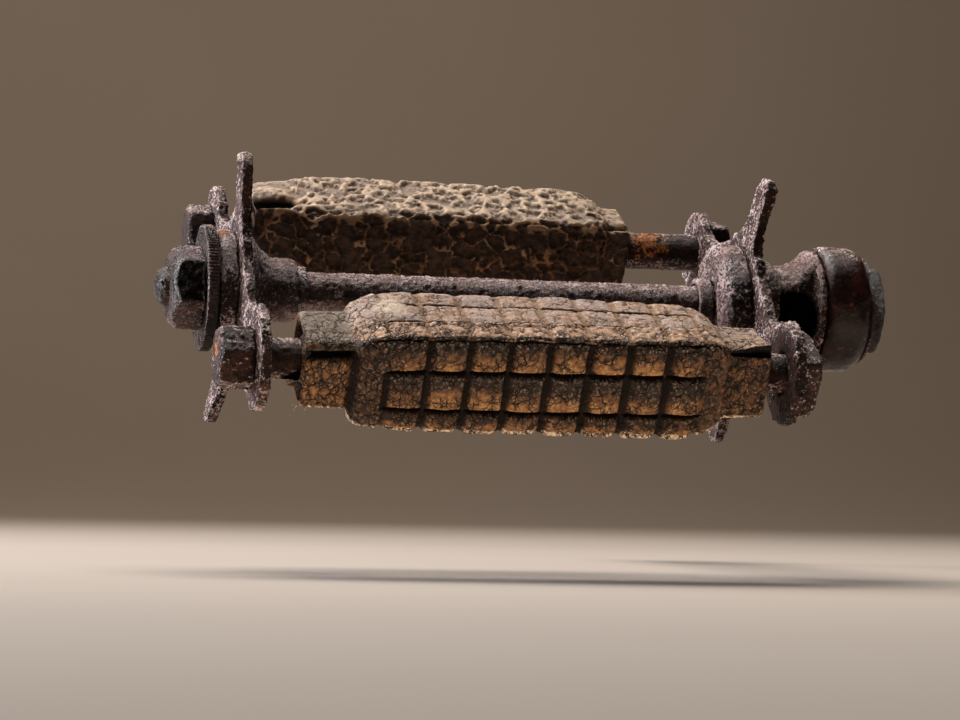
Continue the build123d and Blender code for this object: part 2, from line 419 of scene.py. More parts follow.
def remeshed(mesh, voxel):
    def setup(m):
        m.mode, m.voxel_size, m.adaptivity = "VOXEL", voxel, 0.0
        m.use_smooth_shade = True
    return with_modifier(mesh, "REMESH", setup)


METAL_FIELDS = {
    "broad": dict(kind="noise", f=0.11, detail=2.0),
    "mid": dict(kind="noise", f=0.42, detail=3.0, rough=0.6),
    "fine": dict(kind="noise", f=1.25, detail=2.0, rough=0.6, shift=2.0),
    "chip": dict(kind="noise", f=0.62, detail=2.0, shift=5.0),
    "pits": dict(kind="cell", f=0.62, warp=(0.7, 0.35), shift=1.0),
    "pick": dict(kind="tint", f=0.62, warp=(0.7, 0.35), shift=1.0),
    "pocks": dict(kind="cell", f=1.35, warp=(1.3, 0.2), shift=4.0),
    "scale": dict(kind="cell", f=0.72, warp=(0.8, 0.4), shift=7.0),
}


def corrode(mesh, where, shift, wear=1.0, pits=1.0, lumps=0.0, side=0.0, form=None,
            orange=(), dents=(), smooth=3, painted_shade=(), reach=0.05, clean=(), under=1.0):
    """Round a remeshed piece's edges, pit and scale its surface, and keep the
    attributes that its material reads. lumps: height of grown scale in mm. side:
    how much dust clings to what faces outboard. under: how much painted light from
    below goes on what faces down, in the dust attribute. form(v) may reshape it
    first. orange, soot, clean: (centre, radius) balls of fresh rust, of painted shade
    (near-black colour put where shade falls) and of steel without dust; soot may give
    the way that its flat faces. dents: (centre, radius, depth)."""
    e = edges_of(mesh)
    v = averaged(verts_of(mesh), e, smooth)
    if form is not None:
        v = form(v)
    set_verts(mesh, v)
    n = normals_of(mesh)
    rest = v.copy()
    soft = averaged(v, e, 10)
    bulge = averaged(np.einsum("ij,ij->i", n, v - soft), e, 2)
    edge = ramp(bulge, 0.03, 0.22)
    f = fields(v, METAL_FIELDS, shift)
    crater = ramp(f["pits"], 0.52, 0.18) * ramp(f["pick"], 0.45, 0.75)
    pock = ramp(f["pocks"], 0.50, 0.15)
    d = (0.20 * (f["broad"] - 0.5) + 0.42 * (f["mid"] - 0.5)
         + 0.26 * (f["fine"] - 0.5)) * wear
    d -= (0.20 * crater + 0.085 * pock) * pits
    d -= 0.55 * edge * ramp(f["chip"], 0.45, 0.70) * wear
    d -= 0.06 * wear
    d += lumps * (ramp(f["scale"], 0.50, 0.12) - 0.35) * ramp(f["mid"], 0.36, 0.52)
    for centre, radius, depth in dents:
        d -= depth * bell(np.linalg.norm(v - np.array(centre), axis=1), radius)
    v = v + n * d[:, None]
    set_verts(mesh, v)
    n = normals_of(mesh)
    near = averaged(v, e, 2)
    crest = averaged(np.einsum("ij,ij->i", n, v - near), e, 1) / 0.030
    up = (n @ np.array(to_row[where])[:3, :3].T)[:, 2]
    fresh = np.zeros(len(v))
    for centre, radius in orange:
        fresh = np.maximum(fresh, 1 - np.linalg.norm(v - np.array(centre), axis=1) / radius)
    # painted shade: how near each point lies to a ball of shaded place
    black = np.zeros(len(v))
    for centre, radius, *facet in painted_shade:
        near_it = 1 - np.linalg.norm(v - np.array(centre), axis=1) / radius
        if facet:       # only the flat that faces this way
            near_it = np.minimum(near_it, 0.26) * ramp(averaged(n, e, 4) @ np.array(facet[0]),
                                                       0.86, 0.97)
        black = np.maximum(black, near_it)
    bare = np.zeros(len(v))
    for centre, radius in clean:
        bare = np.maximum(bare, ramp(np.linalg.norm(v - np.array(centre), axis=1) / radius, 1.0, 0.6))
    keep(mesh, "painted_shade", np.clip(black * 1.6, 0, 1))
    keep(mesh, "rest", rest)
    keep(mesh, "crest", np.clip(crest + edge * 0.5, -1, 1.5))
    # dust attribute: dust on what faces up (down to reach) and, by side, outboard; plus, by under, painted light
    # from below on what faces down
    keep(mesh, "dust_and_underlight", np.clip(ramp(up, reach, 0.95) + side * ramp(-n[:, 0], 0.25, 0.95)
                               + under * ramp(-up, 0.25, 0.75), 0, 1) * (1 - bare))
    keep(mesh, "pit", np.clip(crater * 0.9 + ramp(-crest, 0.2, 1.2) * 0.5, 0, 1))
    keep(mesh, "orange", np.clip(fresh, 0, 1))
    return mesh


# ---- steel pieces: CAD shapes, remeshed and corroded -----------------------------------------
mat_plate = rusty("rusty_plate", cover=0.27, gloss=0.42, sheen=0.10,
                  film=(0.120, 0.072, 0.066), filmy=0.42)
mat_hub = rusty("rusty_hub", shift=14.0, cover=0.42, sheen=0.34, gloss=0.20, relief=0.80,
                film=(0.208, 0.106, 0.104), violet=(0.058, 0.028, 0.032))
mat_bolt = rusty("rusty_bolt", gloss=0.38, shift=27.0, violet=(0.032, 0.024, 0.025), sheen=0.12,
                 cover=0.13, film=(0.100, 0.056, 0.050), filmy=0.32)
mat_spindle = rusty("rusty_spindle", shift=41.0, gloss=0.18, cover=0.24, sheen=0.34, relief=0.75,
                    film=(0.225, 0.118, 0.106), filmy=0.72)
mat_nut = rusty("rusty_nut", shift=55.0, gloss=0.13, cover=-0.28, sheen=0.52, relief=1.10,
                film=(0.128, 0.052, 0.048), filmy=0.42,
                violet=(0.055, 0.024, 0.028))
mat_crank = rusty("rusty_crank", shift=68.0, gloss=0.20, cover=-0.22, sheen=0.20, relief=0.18,
                  dark=(0.0080, 0.0032, 0.0026), brown=(0.030, 0.0090, 0.0058),
                  violet=(0.022, 0.0095, 0.0085), film=(0.042, 0.018, 0.014), filmy=0.50)

# node, body, frame, slot, material, voxel, wear, pits, lumps, side dust, orange, dents
steel = [
    ("outboard_plate", "pedal", "platform", "plate_steel", mat_plate, 0.34, 1.3, 1.25, 0.22, 0.62,
     [], [((-1.4, 1.5, 26.6), 2.0, -0.55), ((0.0, -20.0, 6.2), 1.7, 0.7),
          ((1.0, -25.5, 7.6), 1.8, -0.3), ((-1.2, -37, -8.5), 2.0, 0.4),
          ((0.0, 20.5, 6.6), 2.0, 0.4), ((1.0, 30.0, -10.5), 2.4, 0.5)]),
    ("inboard_plate", "pedal", "platform", "plate_steel", mat_plate, 0.34, 1.15, 1.0, 0.30, 0.74,
     [], [((105.6, -1.0, 25.8), 3.0, -0.55), ((103.4, -4.2, 21.0), 1.2, -0.45),
          ((103.2, -4.6, 18.0), 1.1, -0.4), ((103.0, -5.0, 15.4), 1.1, -0.4),
          ((104.0, -20.5, 6.0), 1.8, 0.45), ((105.0, -33.0, 9.6), 2.2, -0.3),
          ((104.0, 21.0, 6.4), 2.0, 0.4)]),
    ("outboard_hub", "pedal", "platform", "hub_steel", mat_hub, 0.34, 0.8, 1.0, 0.10, 0.45,
     [((-4.2, 1.0, 11.6), 3.4)], []),
    ("inboard_hub", "pedal", "platform", "hub_steel", mat_hub, 0.36, 1.1, 1.0, 0.30, 0.85,
     [], [((98.0, -6.0, 10.0), 2.5, 0.5), ((97.5, 4.0, 10.0), 2.5, -0.5)]),
    ("outboard_dust_ring", "pedal", "platform", "hub_steel", mat_hub, 0.24, 0.25, 0.3, 0.0, 0.4,
     [], []),
    ("inboard_dust_ring", "pedal", "platform", "hub_steel", mat_hub, 0.26, 0.3, 0.4, 0.0, 1.0,
     [], []),
    ("front_bolt", "pedal", "platform", "bolt_steel", mat_bolt, 0.36, 1.15, 0.65, 0.30, 0.50,
     [((-8.0, -33.0, 0.6), 3.2)], [((-6.5, -38.6, -2.0), 1.5, 0.25)]),
    ("rear_bolt", "pedal", "platform", "bolt_steel", mat_bolt, 0.43, 0.8, 0.8, 0.12, 0.35,
     [((92.0, 30.5, 2.5), 7.0)], []),
    ("front_bolt_nut", "pedal", "platform", "bolt_steel", mat_bolt, 0.30, 0.9, 0.8, 0.05, 0.3,
     [], []),
    ("rear_bolt_nut", "pedal", "platform", "bolt_steel", mat_bolt, 0.32, 0.9, 0.8, 0.05, 0.3,
     [], []),
    ("pedal_spindle", "crank", "spindle", "spindle_steel", mat_spindle, 0.43, 0.75, 1.0, 0.22, 0.3,
     [], []),
    ("lock_nut", "crank", "spindle", "nut_steel", mat_nut, 0.30, 0.8, 0.8, 0.05, 0.35, [], []),
    ("crank_washer", "crank", "spindle", "nut_steel", mat_nut, 0.34, 0.3, 0.3, 0.0, 0.2, [], []),
    ("crank_nut", "crank", "spindle", "nut_steel", mat_nut, 0.32, 0.6, 0.6, 0.0, 0.2, [], []),
    ("crank_arm", "crank", "spindle", "crank_steel", mat_crank, 0.62, 0.5, 0.7, 0.06, 0.10,
     [], []),
]
# painted shade: balls (centre, radius, and for the lock nut the way its flat faces) where shaded places are
# painted near-black
PAINTED_SHADE = {
    "pedal_spindle": [((112.5, -7.0, -2.5), 7.5), ((116.5, 8.5, -2.0), 8.0)],
    "front_bolt": [((8.0, -33.0, -4.0), 6.0)],
    "lock_nut": [((-10.0, -9.0, 0.5), 10.5, (0.0, -1.0, 0.0))],
    "crank_arm": [((127.0, -17.0, -3.0), 6.0)],
}
# how far down a piece's sides its dust reaches
REACH = {"pedal_spindle": -0.65, "outboard_hub": -0.25, "inboard_hub": 0.05,
         "outboard_plate": -0.40, "inboard_plate": -0.15, "lock_nut": 0.35, "crank_arm": 0.35}
CLEAN = {"pedal_spindle": [((-16.5, 0.0, 0.0), 5.5)], "lock_nut": [((-13.5, -4.0, 3.0), 4.5)],
         "inboard_plate": [((102.6, -34.0, -2.5), 12.0)]}
for i, (node, body, where, slot, mat, voxel, wear, pits, lumps, side, orange, dents) \
        in enumerate(steel):
    mesh = remeshed(cad_mesh(node, where), voxel)
    # under: how much painted light from below goes on what faces down; less on the crank arm and crank nut
    corrode(mesh, where, 3.0 * i, wear, pits, lumps, side, None, orange, dents,
            painted_shade=PAINTED_SHADE.get(node, ()), reach=REACH.get(node, 0.05), clean=CLEAN.get(node, ()),
            under=0.35 if node in ("crank_arm", "crank_nut") else 1.0)
    finish_piece("rusty_" + node, mesh, where, body, node, mat)


# ---- adjusting cone: knurled rim, cut tooth by tooth ---------------------------------------
def knurled_cone():
    teeth, per = 112, 6
    # x, radius, share of the tooth depth; a closed profile round the section
    rows = [(-7.0, 8.3, 0), (-6.7, 9.0, 0), (-6.72, 9.7, 0), (-6.72, 10.4, 0),
            (-6.75, 11.0, 0), (-7.05, 11.35, 0), (-7.35, 11.7, 0), (-7.4, 12.0, .1),
            (-7.32, 12.3, .5), (-7.1, 12.5, 1), (-6.8, 12.5, 1), (-6.5, 12.5, 1),
            (-6.2, 12.5, 1), (-5.9, 12.5, 1), (-5.6, 12.5, 1), (-5.35, 12.48, 1),
            (-5.15, 12.3, .5), (-5.1, 12.0, .1), (-5.1, 11.2, 0), (-5.1, 9.8, 0),
            (-5.1, 8.4, 0), (-4.9, 8.2, 0), (-3.4, 8.2, 0), (-1.7, 8.2, 0),
            (-1.4, 8.0, 0), (-0.4, 6.9, 0), (0.8, 5.6, 0), (0.95, 5.2, 0),
            (1.0, 4.6, 0), (0.9, 4.0, 0), (-1.5, 3.99, 0), (-4.5, 3.99, 0),
            (-6.8, 3.99, 0), (-7.0, 4.3, 0), (-7.0, 6.3, 0)]
    n = teeth * per
    a = np.arange(n) / n * 2 * math.pi
    # teeth vary a little in spacing, and are worn flat here and there
    phase = (a * teeth + 0.35 * np.sin(a * 5 + 0.7)) % (2 * math.pi)
    tooth = 0.5 - 0.5 * np.cos(phase)
    wear_and_rim_light = 0.55 + 0.45 * np.clip(np.sin(a * 3 + 1.0) + 0.5 * np.sin(a * 7), -1, 1)
    g = np.empty((len(rows), n, 3))
    for i, (x, r, t) in enumerate(rows):
        rr = r - 0.34 * t * (1 - tooth) * wear_and_rim_light
        g[i] = np.stack([np.full(n, x), rr * np.cos(a), rr * np.sin(a)], -1)
    mesh = grid_mesh("cone", g)
    if np.einsum("ij,ij->", normals_of(mesh)[9 * n:10 * n], g[9] * (0, 1, 1)) < 0:
        mesh.flip_normals()
    e = edges_of(mesh)
    v, nrm = verts_of(mesh), normals_of(mesh)
    f = fields(v, METAL_FIELDS, 77.0)
    d = 0.14 * (f["broad"] - 0.5) + 0.20 * (f["mid"] - 0.5) + 0.12 * (f["fine"] - 0.5) - 0.04
    d -= 0.10 * ramp(f["pits"], 0.52, 0.18) * ramp(f["pick"], 0.55, 0.8)
    rest = v.copy()
    set_verts(mesh, v + nrm * d[:, None])
    v, nrm = verts_of(mesh), normals_of(mesh)
    radial = np.hypot(rest[:, 1], rest[:, 2])
    rim = ramp(radial, 11.9, 12.3) * ramp(rest[:, 0], -4.6, -5.0)
    ridge = np.tile(tooth, len(rows)) * rim
    keep(mesh, "rest", rest)
    keep(mesh, "crest", np.clip(ridge * 1.1 - rim * 0.75 + 0.1
                                + 0.9 * bell(radial - 12.2, 0.35) * (rest[:, 0] < -7.0), -1, 1.5))
    keep(mesh, "dust_and_underlight", np.clip(ramp(nrm[:, 2], 0.15, 1.1) * (1 - 0.6 * rim)
                               + 1.1 * ridge * ramp(rest[:, 2], -9.0, 6.0)
                               + 0.5 * bell(rest[:, 0] + 7.25, 0.3) * ramp(-nrm[:, 0], 0.0, 0.8), 0, 1))
    keep(mesh, "pit", np.clip(rim * (1 - np.tile(tooth, len(rows))) * 0.7, 0, 1))
    fresh = 1 - np.linalg.norm(rest - np.array((-5.2, -2.0, 12.3)), axis=1) / 2.6
    keep(mesh, "orange", np.clip(fresh, 0, 1))
    finish_piece("knurled_adjusting_cone", mesh, "spindle", "crank", "adjusting_cone",
                 mat_nut)


knurled_cone()


# ---- rubber blocks: rings of points along the block, each a rounded square --------------------
FRONT_ROWS = (-0.73, 0.44)      # where the row grooves lie in front


def perimeter(count):
    """(side, t) of the points round a ring: sides front, top, back, bottom, with t
    from -1.5 to 1.5 in pad rows, closer together at the row grooves and corners."""
    k = (np.arange(count) + 0.5) / count * 4
    side = k.astype(int)
    t = np.linspace(-1.5, 1.5, 2001)
    out = np.empty(count)
    for s in range(4):
        lo, hi = FRONT_ROWS if s == 0 else (-0.5, 0.5)
        w = 1 + 1.5 * (bell(t - lo, 0.07) + bell(t - hi, 0.07)) + 1.3 * bell(np.abs(t) - 1.5, 0.09)
        c = np.concatenate([[0], np.cumsum((w[1:] + w[:-1]) / 2)])
        out[side == s] = np.interp((k - side)[side == s], c / c[-1], t)
    return side, out


def ring(side, t, box, radii):
    """Points (y, z) on a rounded rectangle. box: y-, y+, z-, z+ half extents from the
    bolt, radii at the corners front-top, top-back, back-bottom, bottom-front."""
    fy, by, bz, tz = box
    mid_y, mid_z = (by - fy) / 2, (tz - bz) / 2
    half_y, half_z = (by + fy) / 2, (tz + bz) / 2
    # side: outward normal, direction of growing t
    frames = [((-1, 0), (0, 1)), ((0, 1), (1, 0)), ((1, 0), (0, -1)), ((0, -1), (-1, 0))]
    out = np.empty((len(t), 2))
    nor = np.empty((len(t), 2))
    for s, (nn, dd) in enumerate(frames):
        along, away = (half_z, half_y) if s % 2 == 0 else (half_y, half_z)
        centre = np.array([mid_y, mid_z]) + np.array(nn) * away
        for sign in (-1, 1):
            pick = (side == s) & ((t < 0) == (sign < 0))
            r = radii[s] if sign > 0 else radii[s - 1]
            straight = along - r
            arc = np.abs(t[pick]) / 1.5 * (straight + r * math.pi / 4)
            over = np.clip(arc - straight, 0, None) / r
            run = np.minimum(arc, straight) + r * np.sin(over)
            back = r * (1 - np.cos(over))
            d, n2 = np.array(dd) * sign, np.array(nn)
            out[pick] = centre + np.outer(run, d) - np.outer(back, n2)
            nor[pick] = np.outer(np.sin(over), d) + np.outer(np.cos(over), n2)
    return out, nor


def stations(keys, count, dense):
    """Places along a block's profile: keys are (x, ...) rows, x rising; dense are
    (x, width) where the points lie closer. Returns count rows interpolated."""
    keys = np.array(keys, float)
    x = keys[:, 0]
    steps = np.hypot(np.diff(x), np.diff(keys[:, 1:5].mean(1)))
    path = np.concatenate([[0], np.cumsum(steps)])
    p = np.linspace(0, path[-1], 6001)
    xs = np.interp(p, path, x)
    w = np.ones_like(p)
    for at, width in dense:
        w += 1.5 * bell(xs - at, width)
    c = np.concatenate([[0], np.cumsum((w[1:] + w[:-1]) / 2)])
    q = np.interp(np.linspace(0, c[-1], count), c, p)
    return np.stack([np.interp(q, path, keys[:, k]) for k in range(keys.shape[1])], -1)


def rubber_grid(keys, count, around, dense, bore, recess, twist):
    """Rings of a block: its outside, both end faces and the bore, as one closed grid.
    twist: (x, degrees turned forwards on the bolt) rows. Returns places, outward
    directions, x, side, t, and how far a ring is from the bore, 1 on the outside."""
    side, t = perimeter(around)
    st = stations(keys, count, dense)
    rows, nors, xs, share = [], [], [], []

    def section(row):
        a = math.radians(np.interp(row[0], *np.array(twist).T))
        turn = np.array([[math.cos(a), math.sin(a)], [-math.sin(a), math.cos(a)]])
        p, n = ring(side, t, row[1:5], row[5:9])
        return p @ turn, n @ turn

    def circle(r, pts):
        a = np.arctan2(pts[:, 1], pts[:, 0])
        return np.stack([r * np.cos(a), r * np.sin(a)], -1)

    first, last = section(st[0]), section(st[-1])
    face = [0.0, 0.1, 0.25, 0.42, 0.58, 0.72, 0.84, 0.93]
    for k in face:                      # left end face, from the bore outwards
        p = circle(bore, first[0]) * (1 - k) + first[0] * k
        dip = recess[0] * math.sin(math.pi * min(k * 1.25, 1.0))
        rows.append((st[0][0] + dip, p))
        nors.append(np.concatenate([np.full((len(t), 1), -1.0), first[1] * 0.0], 1))
        share.append(k)
    for row in st:
        p, n = section(row)
        rows.append((row[0], p))
        nors.append(np.concatenate([np.zeros((len(t), 1)), n], 1))
        share.append(1.0)
    for k in reversed(face):            # right end face, inwards
        p = circle(bore, last[0]) * (1 - k) + last[0] * k
        dip = recess[1] * math.sin(math.pi * min(k * 1.25, 1.0))
        rows.append((st[-1][0] - dip, p))
        nors.append(np.concatenate([np.full((len(t), 1), 1.0), last[1] * 0.0], 1))
        share.append(k)
    for x in np.linspace(st[-1][0], st[0][0], 8)[1:-1]:   # back through the bore
        rows.append((x, circle(bore, last[0])))
        nors.append(np.zeros((len(t), 3)))
        share.append(0.0)
    g = np.empty((len(rows), len(t), 3))
    for i, (x, p) in enumerate(rows):
        g[i, :, 0] = x
        g[i, :, 1:] = p
    return (g, np.array(nors), g[:, :, 0].copy(), np.broadcast_to(side, g.shape[:2]),
            np.broadcast_to(t, g.shape[:2]), np.array(share)[:, None])


def centre_on_bolt(v, s):
    return v + np.array([0.0, s * BOLT_Y, BOLT_Z])


def smooth_grid(g, times):
    for _ in range(times):
        g = g * 0.5 + 0.125 * (np.roll(g, 1, 0) + np.roll(g, -1, 0)
                               + np.roll(g, 1, 1) + np.roll(g, -1, 1))
    return g


PAD, PAD0 = 7.72, 22.5          # pad pitch along the block, first groove
FRONT, TOP, BACK, BOTTOM = range(4)
CRACKS = dict(f=0.42, warp=(1.0, 0.55), stretch=(1.25, 1.0, 0.85), shift=6.0)
CRAZE = dict(f=1.0, warp=(2.0, 0.26), stretch=(1.2, 1.0, 0.9), shift=9.0)
RIDGES = dict(f=0.27, warp=(0.42, 1.4), stretch=(0.90, 1.0, 1.0), shift=12.0)
VEINS = dict(f=0.46, warp=(0.9, 0.8), shift=15.0)


def front_rubber():
    rng = np.random.default_rng(11)
    # x, extents front, back, bottom, top, then corner radii front-top, top-back,
    # back-bottom, bottom-front
    keys = [
        (7.6, 6.9, 7.0, 6.9, 7.1, 2.2, 2.4, 2.6, 2.2),
        (8.0, 7.25, 7.3, 7.2, 7.6, 2.4, 2.8, 2.8, 2.4),
        (12.0, 7.5, 7.3, 7.3, 7.8, 2.5, 3.0, 2.8, 2.4),
        (16.2, 7.6, 7.3, 7.4, 8.0, 2.4, 3.2, 2.8, 2.6),
        (16.7, 8.8, 8.3, 8.6, 8.7, 2.0, 3.6, 3.2, 3.4),
        (17.6, 10.0, 9.2, 9.7, 9.5, 1.9, 4.2, 3.6, 4.2),
        (19.2, 10.6, 9.9, 10.3, 10.1, 1.9, 4.6, 3.6, 4.6),
        (22.0, 10.9, 10.7, 10.7, 10.9, 1.9, 4.0, 3.4, 4.6),
        (30.0, 11.0, 10.9, 11.2, 11.1, 1.8, 3.6, 3.2, 4.4),
        (50.0, 11.0, 11.0, 11.4, 11.1, 1.8, 3.2, 3.0, 4.0),
        (76.0, 11.0, 10.9, 11.2, 10.8, 1.8, 3.0, 3.0, 3.6),
        (83.0, 11.0, 10.8, 11.2, 10.8, 1.8, 3.2, 3.2, 3.6),
        (85.0, 10.7, 10.5, 10.6, 10.5, 2.0, 3.6, 3.6, 4.0),
        (87.0, 10.35, 9.7, 9.8, 9.9, 2.2, 3.6, 3.8, 4.2),
        (88.4, 10.0, 8.7, 8.9, 9.0, 2.2, 3.2, 3.4, 3.8),
        (89.0, 9.5, 8.0, 8.2, 8.4, 2.0, 2.8, 3.0, 3.2),
        (89.5, 8.0, 7.5, 7.6, 7.8, 1.7, 2.4, 2.8, 2.6),
        (90.6, 7.6, 7.4, 7.4, 7.5, 1.5, 2.4, 2.8, 2.4),
        (94.0, 7.5, 7.4, 7.3, 7.4, 1.5, 2.4, 2.8, 2.4),
        (97.8, 7.4, 7.3, 7.3, 7.3, 1.5, 2.4, 2.8, 2.4),
        (98.2, 7.0, 6.9, 6.9, 7.0, 1.4, 2.2, 2.6, 2.2)]
    twist = [(7.6, 9.5), (16.0, 8.0), (22.0, 5.4), (30.0, 4.5), (50.0, 3.4),
             (66.0, 2.6), (82.0, 1.7), (90.0, 0.8), (98.2, 0.0)]
    grooves = [PAD0 + PAD * k for k in range(9)]
    dense = [(x + 0.3, 0.7) for x in grooves] + [(16.5, 1.0), (89.2, 1.0)]
    g, nor, x, side, t, share = rubber_grid(keys, 306, 288, dense, 4.02, (1.6, 1.0), twist)
    outside = share > 0.99
    nor = smooth_grid(nor, 2)
    nor /= np.maximum(np.linalg.norm(nor, axis=2, keepdims=True), 1e-6)
    rest = centre_on_bolt(g.reshape(-1, 3), -1)
    f = {k: a.reshape(x.shape) for k, a in fields(rest, {
        "broad": dict(kind="noise", f=0.10, detail=2.0),
        "mid": dict(kind="noise", f=0.38, detail=2.0, shift=3.0),
        "fine": dict(kind="noise", f=1.1, detail=2.0, rough=0.6, shift=5.0),
        "wide": dict(kind="noise", f=0.3, detail=2.0, shift=8.0),
        "crack": dict(kind="edge", **CRACKS),
    }).items()}

    # pads: column k, row r; each has its own height, flanks and tilt
    col = np.clip(np.floor((x - PAD0) / PAD), 0, 7).astype(int)
    tt = np.where(side == FRONT,
                  np.interp(t, (-1.5, FRONT_ROWS[0], FRONT_ROWS[1], 1.5), (-1.5, -0.5, 0.5, 1.5)), t)
    row = np.clip(np.round(tt), -1, 1).astype(int)
    key = (side * 8 + col) * 3 + row + 1
    V = rng.normal(size=(4 * 8 * 3, 6))[key]
    row_mm = 7.15
    tall = np.where(side == FRONT, np.choose(row + 1, (0.77, 1.17, 1.06)), 1.0)
    across = tt - row
    left = x - (PAD0 + PAD * col) + 0.35 * (f["wide"] - 0.5) + 0.10 * V[..., 1]
    right = PAD - left
    u = np.clip((left - PAD / 2) / (PAD / 2), -1, 1)
    sag = 0.22 * (1 - u * u)                     # rows dip in the middle of each pad
    edge_t = (0.5 - np.abs(across + sag / row_mm)) * row_mm * tall + 0.25 * (f["mid"] - 0.5)
    outer = (row != 0) & (np.sign(across) == row)       # the side at the corner
    inside = ramp(x, PAD0 - 1.0, PAD0 + 0.1) * ramp(x, PAD0 + 8 * PAD + 1.0, PAD0 + 8 * PAD - 0.1)
    on_front, on_top = side == FRONT, side == TOP
    late = ramp(x, 45, 75)                       # grooves are wider to the right
    depth = np.select([on_front, on_top], [1.35, 0.46], 1.1) * (1 + 0.10 * V[..., 0])
    first = (col == 0) & (left < PAD / 2) & on_front
    depth = np.where(first, depth * np.choose(row + 1, (0.40, 0.80, 0.30)), depth)
    last = (col == 7) & (right < PAD / 2) & on_front
    depth = np.where(last, depth * 0.45, depth)
    wl = np.select([on_front, on_top], [1.75 + 0.9 * late, 1.25], 1.5) * (1 + 0.10 * V[..., 1])
    wr = np.select([on_front, on_top], [0.85, 0.95], 1.0)
    wt = np.select([on_front, on_top], [0.80, 0.50], 0.9)
    mesa = ramp(left, 0.22, wl) * ramp(right, 0.18, wr)
    flank = 1 - ramp(edge_t, 0.08, wt)
    mesa_t = 1 - flank * np.where(outer, np.select([on_front & (row < 0), on_front, on_top],
                                                   [0.15, 0.04, 0.12], 0.30), 0.85)
    crown = (1 - u * u) * (1 - np.clip(across * 2, -1, 1) ** 2)
    lean = 0.12 * (V[..., 2] * u + V[..., 3] * across * 2)
    puff = np.select([on_front, on_top], [0.62, 0.20], 0.42)
    relief = (-depth * (1 - mesa * mesa_t) + mesa * (puff * (crown - 1) + lean * crown
                                                    - 0.10 * np.abs(V[..., 4])))
    # the row grooves are cut deeper, like a saw line, in front
    saw = np.where(outer, 0.0, bell(edge_t, 0.24)) * np.where(on_front, 0.60, 0.30)
    relief -= saw * ramp(left, 0.0, 0.8)
    # the front row on top stands up in a lip at its back
    lip = on_top & (row == -1) & (across > 0)
    relief += np.where(lip, 0.30 * bell(edge_t - 0.55, 0.5), 0) * mesa
    relief *= inside
    # a nick cut where the narrow end meets the main block, painted dark as shade through the groove mask
    nick = np.where(on_front, bell(x - 16.75, 0.75) * ramp(t, 1.3, 0.9) * ramp(t, -1.45, -1.1), 0)
    relief -= 0.9 * nick
    # ragged line along the front-top corner, and a softer one along the others
    corner = bell((1.5 - np.abs(t)) * row_mm, 0.30)
    at_ft = (on_front & (t > 0)) | (on_top & (t < 0))
    along_ft = np.where(on_front, -(1.5 - t), 1.5 + t) * row_mm
    wander = 2.6 * (f["mid"] - 0.5) + 1.8 * (f["fine"] - 0.5)
    corner = np.where(at_ft, bell(along_ft - wander + 0.15, 0.30), corner)
    body = ramp(x, 17.0, 22.0) * ramp(x, 89.0, 85.0)
    relief -= corner * np.where(at_ft, 0.60 * ramp(f["wide"], 0.38, 0.50) + 0.15, 0.18) * body
    # slits along the front-top corner of both narrow ends
    s_mm = np.where(on_front, -(1.5 - t), (1.5 + t)) * 4.64
    slit_l = ramp(x, 17.4, 16.0) * bell(s_mm + 2.05, 1.02 - 0.020 * (x - 7.6))
    slit_r = ramp(x, 89.2, 90.6) * bell(s_mm + 0.10, 0.40)
    slit = np.where(at_ft, np.clip(slit_l + slit_r, 0, 1), 0) * outside
    # ring scars: x, side, t, radius
    scar = np.zeros_like(x)
    for cx, cs, ct, cr in [(60.0, FRONT, 0.95, 1.7), (75.0, FRONT, 0.85, 1.4),
                           (75.0, FRONT, -0.25, 1.5), (34.5, FRONT, 1.02, 1.7),
                           (49.6, FRONT, 0.95, 1.5), (26.0, FRONT, 0.15, 2.0),
                           (67.0, FRONT, 0.90, 1.6), (42.0, FRONT, -0.1, 1.9),
                           (66.0, FRONT, -0.2, 1.4), (47.0, BACK, 0.2, 1.8),
                           (71.0, BOTTOM, 0.1, 1.7), (33.0, BOTTOM, -0.9, 1.6),
                           (62.0, BACK, -0.9, 1.5), (81.0, FRONT, 0.85, 1.5)]:
        dist = np.hypot(x - cx, (t - ct) * row_mm) + 0.5 * (f["fine"] - 0.5)
        scar += np.where(side == cs, bell(dist - cr, 0.20), 0)
    # bruise at the left of the top face
    spot = np.where(on_top, bell(np.hypot((x - 24.4) / 1.30, (t - 0.30) * 5.0) + 1.2 * (f["mid"] - 0.5), 2.6), 0)
    relief *= 1 - 0.85 * ramp(spot, 0.2, 0.6)
    wide_crack = ramp(f["crack"] / CRACKS["f"], 0.26, 0.03) * ramp(f["fine"], 0.40, 0.52)
    rough_zone = 0.25 + 0.75 * np.clip(ramp(x, 24, 20) + ramp(x, 86, 89)
                                       + on_top * 0.5 + ramp(f["wide"], 0.5, 0.62), 0, 1)
    d = relief - 0.10 * (1 - inside) * body
    d = d + 0.50 * (f["broad"] - 0.5) + 0.36 * (f["mid"] - 0.5) + 0.20 * (f["fine"] - 0.5)
    d = d - 0.22 * wide_crack * rough_zone - 0.20 * scar - 0.18 + 0.15 * spot
    craggy = np.where(on_top, ramp(t, -0.45, -0.75), np.where(on_front, ramp(t, 1.0, 1.35), 0.0)) * body
    d = d + craggy * (0.36 * (f["fine"] - 0.5) - 0.22 * wide_crack)
    # frayed lower edge
    fb = (on_front & (t < -1.2)) | ((side == BOTTOM) & (t > 1.2))
    d = d - np.where(fb, 0.32 * ramp(f["fine"], 0.50, 0.66), 0)
    d = np.where(outside, d, np.where(share > 0, 0.5 * (f["mid"] - 0.5) * share, 0))
    v = g + nor * (d - 2.9 * slit)[..., None]
